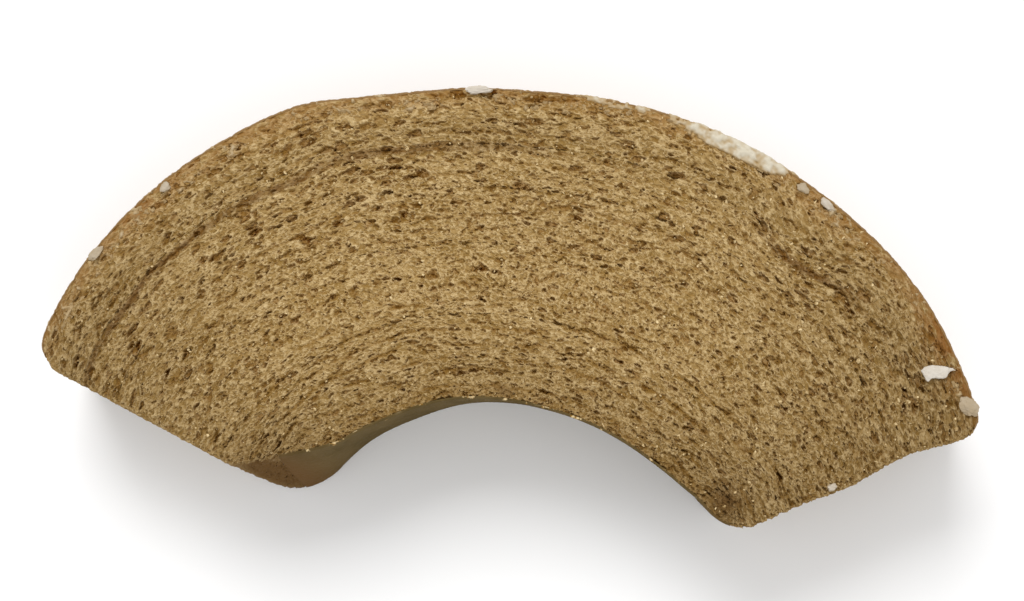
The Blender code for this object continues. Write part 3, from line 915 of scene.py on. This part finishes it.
face_side = np.arange(-0.0036, 0.0, GLAZE_STEP)
wall_side = np.arange(0.0, THICKNESS - 2.0 * EDGE_ROUND, 2.0 * GLAZE_STEP)
along = np.concatenate([face_side, wall_side])
arc = math.radians(GLAZE_ANGLES[1] - GLAZE_ANGLES[0]) * RIM_RADIUS
angle, along = np.meshgrid(np.linspace(*GLAZE_ANGLES, round(arc / GLAZE_STEP)), along, indexing="ij")
setback, height, slope = rim_profile(along)
turn = np.radians(angle)
points = ring_points(angle, smooth_curve(RIM, angle) - setback, height)
normals = np.stack([np.sin(slope) * np.cos(turn), np.sin(slope) * np.sin(turn), np.cos(slope)], axis=-1)
round_rim = turn * RIM_RADIUS
patches = noise_over(round_rim, along, 240.0, 260.0, 3.1, 3)
pits = noise_over(round_rim, along, 900.0, 1100.0, 7.7, 2)
left_here = smooth_curve(GLAZE_AMOUNT, angle)
fade = np.clip(1.0 + along / smooth_curve(GLAZE_REACH, angle), 0.0, 1.0) ** 0.35
fade = np.where(along > 0.0, np.exp(-along / GLAZE_DOWN_WALL), fade)
fade = fade * (1.0 - 0.4 * np.exp(-(along / GLAZE_AT_EDGE) ** 2))
patches = mix(*GLAZE_PATCHES, np.clip(along / GLAZE_WALL_BEGINS, 0.0, 1.0)) * patches
heights = GLAZE_THICKNESS * left_here * fade + patches + GLAZE_PITS * pits - GLAZE_WORN
points, faces, thickness = island_sheets(points, normals, heights, GLAZE_ROOT)
glaze_piece("rim_glaze", points, faces, thickness,
            sugar_material("thin glaze", GLAZE_MILKY, GLAZE_THIN, -0.00002, 0.00032, 0.0))

# The flakes of sugar
# Pieces of the same glaze have come off and stick to the face and the edge: a long shred near the torn
# cut, a lump at its corner, and small chips. Each is a closed shape with a broken outline.
SHRED_PLACE = (28.9, 0.0750)
SHRED_TOP = ((-2.44, 0.30), (-2.2, 0.55), (-1.98, 0.76), (-1.4, 0.98), (-0.8, 1.05), (0.0, 1.0), (0.8, 0.93),
             (1.4, 0.84), (1.7, 0.74), (2.1, 0.60), (2.67, 0.40))
SHRED_BOTTOM = ((-2.44, 0.15), (-2.2, -0.25), (-1.98, -0.70), (-1.7, -1.22), (-1.37, -1.32), (-1.05, -1.10),
                (-0.8, -0.92), (0.0, -0.90), (0.8, -0.92), (1.3, -0.80), (1.55, -0.20), (1.8, 0.10),
                (2.1, 0.18), (2.67, 0.30))
SHRED_HALF_THICKNESS = 0.00042
SHRED_THIN_BELOW_MM = 0.55
SHRED_WAVE_MM = 0.10
SHRED_ROUGH_MM = 0.09
# angle, radius, length, width, thickness, turn from the rim's direction, whiteness
FLAKES = (
    (23.9, 0.0768, 0.0033, 0.0022, 0.0010, 24, 0.15),
    (92.4, 0.0797, 0.0037, 0.0012, 0.0010, 0, 0.80),
    (51.2, 0.0790, 0.0023, 0.0011, 0.0006, -8, 0.68),
    (54.4, 0.0789, 0.0019, 0.0012, 0.0005, 5, 0.28),
    (128.7, 0.0832, 0.0016, 0.0013, 0.0007, 20, 0.40),
    (138.9, 0.0834, 0.0026, 0.0013, 0.0006, 0, 0.28),
    (20.9, 0.0534, 0.0014, 0.0010, 0.0007, 70, 0.60),
)
WALL_FLAKES = 5
WALL_FLAKE_SEED = 11
WALL_FLAKE_ANGLES = (34.0, 144.0)
WALL_FLAKE_LENGTH = (0.0025, 0.0045)
WALL_FLAKE_SLENDER = (0.4, 0.7)
WALL_FLAKE_TURN = (-40.0, 40.0)
WALL_FLAKE_THICKNESS = 0.0009
WALL_FLAKE_WHITENESS = 0.8
FLAKE_SINK = 0.00012
FLAKE_LUMPS = 0.42
FLAKE_THICK_ON_WALL = 0.0006
FLAKE_THICKEST = 0.00045
FLAKE_CLEAR = colour(152, 132, 100)


def shred_surface():
    """Points and faces of the long shred, a flat pillow between its two outlines."""
    steps = 90
    around = 48
    place = 0.5 - 0.5 * np.cos(np.linspace(0.03, 0.97, steps) * math.pi)
    x = mix(SHRED_TOP[0][0], SHRED_TOP[-1][0], place)
    top = smooth_curve(SHRED_TOP, x)
    bottom = smooth_curve(SHRED_BOTTOM, x)
    turn = np.linspace(0.0, 2.0 * math.pi, around, endpoint=False)
    half = 0.5 * (top - bottom)[:, None]
    y = 0.5 * (top + bottom)[:, None] + half * np.cos(turn) * (1.0 + 0.0 * x[:, None])
    thin = np.clip(half / SHRED_THIN_BELOW_MM, 0.0, 1.0) ** 0.5
    z = SHRED_HALF_THICKNESS * 1000.0 * thin * np.sign(np.sin(turn)) * np.abs(np.sin(turn)) ** 0.6
    z = z + SHRED_WAVE_MM * np.cos(0.9 * x)[:, None]
    x = np.repeat(x[:, None], around, axis=1)
    local = np.stack([x, y, z], axis=-1).reshape(-1, 3)
    for number, place in enumerate(local):
        rough = Vector([noise.fractal(Vector(place) * 1.6 + Vector((0.0, 0.0, 9.0 * axis)), 0.7, 2.1, 4)
                        for axis in range(3)])
        local[number] = place + SHRED_ROUGH_MM * np.array(rough)
    index = np.arange(steps * around).reshape(steps, around)
    index = np.concatenate([index, index[:, :1]], axis=1)
    faces = grid_faces(index)
    faces.append(index[0, :-1].tolist())
    faces.append(index[-1, -2::-1].tolist())
    centre = ring_points(SHRED_PLACE[0], SHRED_PLACE[1], THICKNESS + SHRED_HALF_THICKNESS - FLAKE_SINK)
    return centre + local * 0.001, faces


def flake_surface(angle, radius, length, width, thickness, turn, height, upright, seed):
    """Points and faces of a broken chip, flat on the face, or upright on the wall of the rim."""
    chip = bmesh.new()
    bmesh.ops.create_icosphere(chip, subdivisions=4, radius=1.0)
    chip.verts.ensure_lookup_table()
    local = np.array([vertex.co for vertex in chip.verts])
    faces = [[vertex.index for vertex in face.verts] for face in chip.faces]
    chip.free()
    lumps = np.array([noise.fractal(Vector(place) + Vector((seed, 0.0, 0.0)), 0.9, 2.0, 5)
                      for place in local])
    local = local * (1.0 + FLAKE_LUMPS * lumps)[:, None]
    flat = np.sign(local[:, 2]) * np.abs(local[:, 2]) ** 0.7
    lean = math.radians(turn)
    along = 0.5 * length * local[:, 0]
    across = 0.5 * width * local[:, 1]
    along, across = (along * math.cos(lean) - across * math.sin(lean),
                     along * math.sin(lean) + across * math.cos(lean))
    out = 0.5 * thickness * (1.0 + flat) - FLAKE_SINK
    place_angle = angle - np.degrees(along / radius)
    if upright:
        return ring_points(place_angle, smooth_curve(RIM, place_angle) + out, height + across), faces
    return ring_points(place_angle, radius + across, height + out), faces


surfaces = [(shred_surface(), 0.85)]
for number, flake in enumerate(FLAKES):
    surfaces.append((flake_surface(*flake[:6], THICKNESS, False, 3.0 * number), flake[6]))
draw = random.Random(WALL_FLAKE_SEED)
for number in range(WALL_FLAKES):
    angle = mix(*WALL_FLAKE_ANGLES, (number + draw.uniform(0.2, 0.8)) / WALL_FLAKES)
    height = THICKNESS * draw.uniform(0.2, 0.8)
    length = draw.uniform(*WALL_FLAKE_LENGTH)
    width = length * draw.uniform(*WALL_FLAKE_SLENDER)
    turn = draw.uniform(*WALL_FLAKE_TURN)
    radius = float(smooth_curve(RIM, np.array([angle]))[0])
    shape = (angle, radius, length, width, WALL_FLAKE_THICKNESS, turn)
    surfaces.append((flake_surface(*shape, height, True, 50.0 + number), WALL_FLAKE_WHITENESS))

flake_points = []
flake_faces = []
flake_thickness = []
count = 0
for (points, faces), whiteness in surfaces:
    on_face = points[:, 2] > THICKNESS - FACE_BAND
    raised = np.where(on_face, points[:, 2] - THICKNESS, FLAKE_THICK_ON_WALL)
    flake_points.append(points)
    flake_faces += [[corner + count for corner in face] for face in faces]
    flake_thickness.append(whiteness * np.clip(0.9 * raised, 0.0, FLAKE_THICKEST))
    count += len(points)
glaze_piece("sugar_flakes", np.concatenate(flake_points), flake_faces, np.concatenate(flake_thickness),
            sugar_material("sugar flakes", GLAZE, FLAKE_CLEAR, 0.0, 0.00058, 0.10))

# The studio
# A plain pale floor under soft light, and a camera that looks down on the cut face as in the photograph.
LENS_MM = 70.0
SENSOR_MM = 36.0
VIEW_CENTRE = Vector((0.00189, 0.00106, THICKNESS))
CAMERA_OFFSET = Vector((0.0210, -0.0152, 0.30239))

floor_mesh = bpy.data.meshes.new("floor")
floor_mesh.from_pydata([(-3, -3, 0), (3, -3, 0), (3, 3, 0), (-3, 3, 0)], [], [(0, 1, 2, 3)])
floor = bpy.data.objects.new("floor", floor_mesh)
floor_paint = bpy.data.materials.new("floor")
floor_paint.use_nodes = True
floor_surface = floor_paint.node_tree.nodes["Principled BSDF"]
floor_surface.inputs["Base Color"].default_value = (0.90, 0.90, 0.90, 1.0)
floor_surface.inputs["Roughness"].default_value = 0.9
floor_mesh.materials.append(floor_paint)
bpy.context.scene.collection.objects.link(floor)

camera_data = bpy.data.cameras.new("camera")
camera_data.lens = LENS_MM
camera_data.sensor_width = SENSOR_MM
camera_data.clip_start = 0.01
camera = bpy.data.objects.new("camera", camera_data)
ahead = -CAMERA_OFFSET.normalized()
right = ahead.cross(Vector((0.0, 1.0, 0.0))).normalized()
up = right.cross(ahead)
turned = Matrix((right, up, -ahead)).transposed().to_4x4()
camera.matrix_world = Matrix.Translation(VIEW_CENTRE + CAMERA_OFFSET) @ turned
bpy.context.scene.collection.objects.link(camera)
bpy.context.scene.camera = camera


def add_softbox(name, place, size, power):
    """Square area light that points at the cake."""
    data = bpy.data.lights.new(name, "AREA")
    data.size = size
    data.energy = power
    light = bpy.data.objects.new(name, data)
    light.location = place
    light.rotation_euler = (-Vector(place)).to_track_quat("-Z", "Y").to_euler()
    bpy.context.scene.collection.objects.link(light)


add_softbox("key", (-0.10, 0.60, 0.88), 0.45, 6.2)
add_softbox("fill", (0.5, -0.4, 0.9), 0.8, 1.5)
world = bpy.data.worlds.new("world")
world.use_nodes = True
world.node_tree.nodes["Background"].inputs["Color"].default_value = (1.0, 1.0, 1.0, 1.0)
world.node_tree.nodes["Background"].inputs["Strength"].default_value = 0.80
bpy.context.scene.world = world
bpy.context.scene.view_settings.view_transform = "Standard"
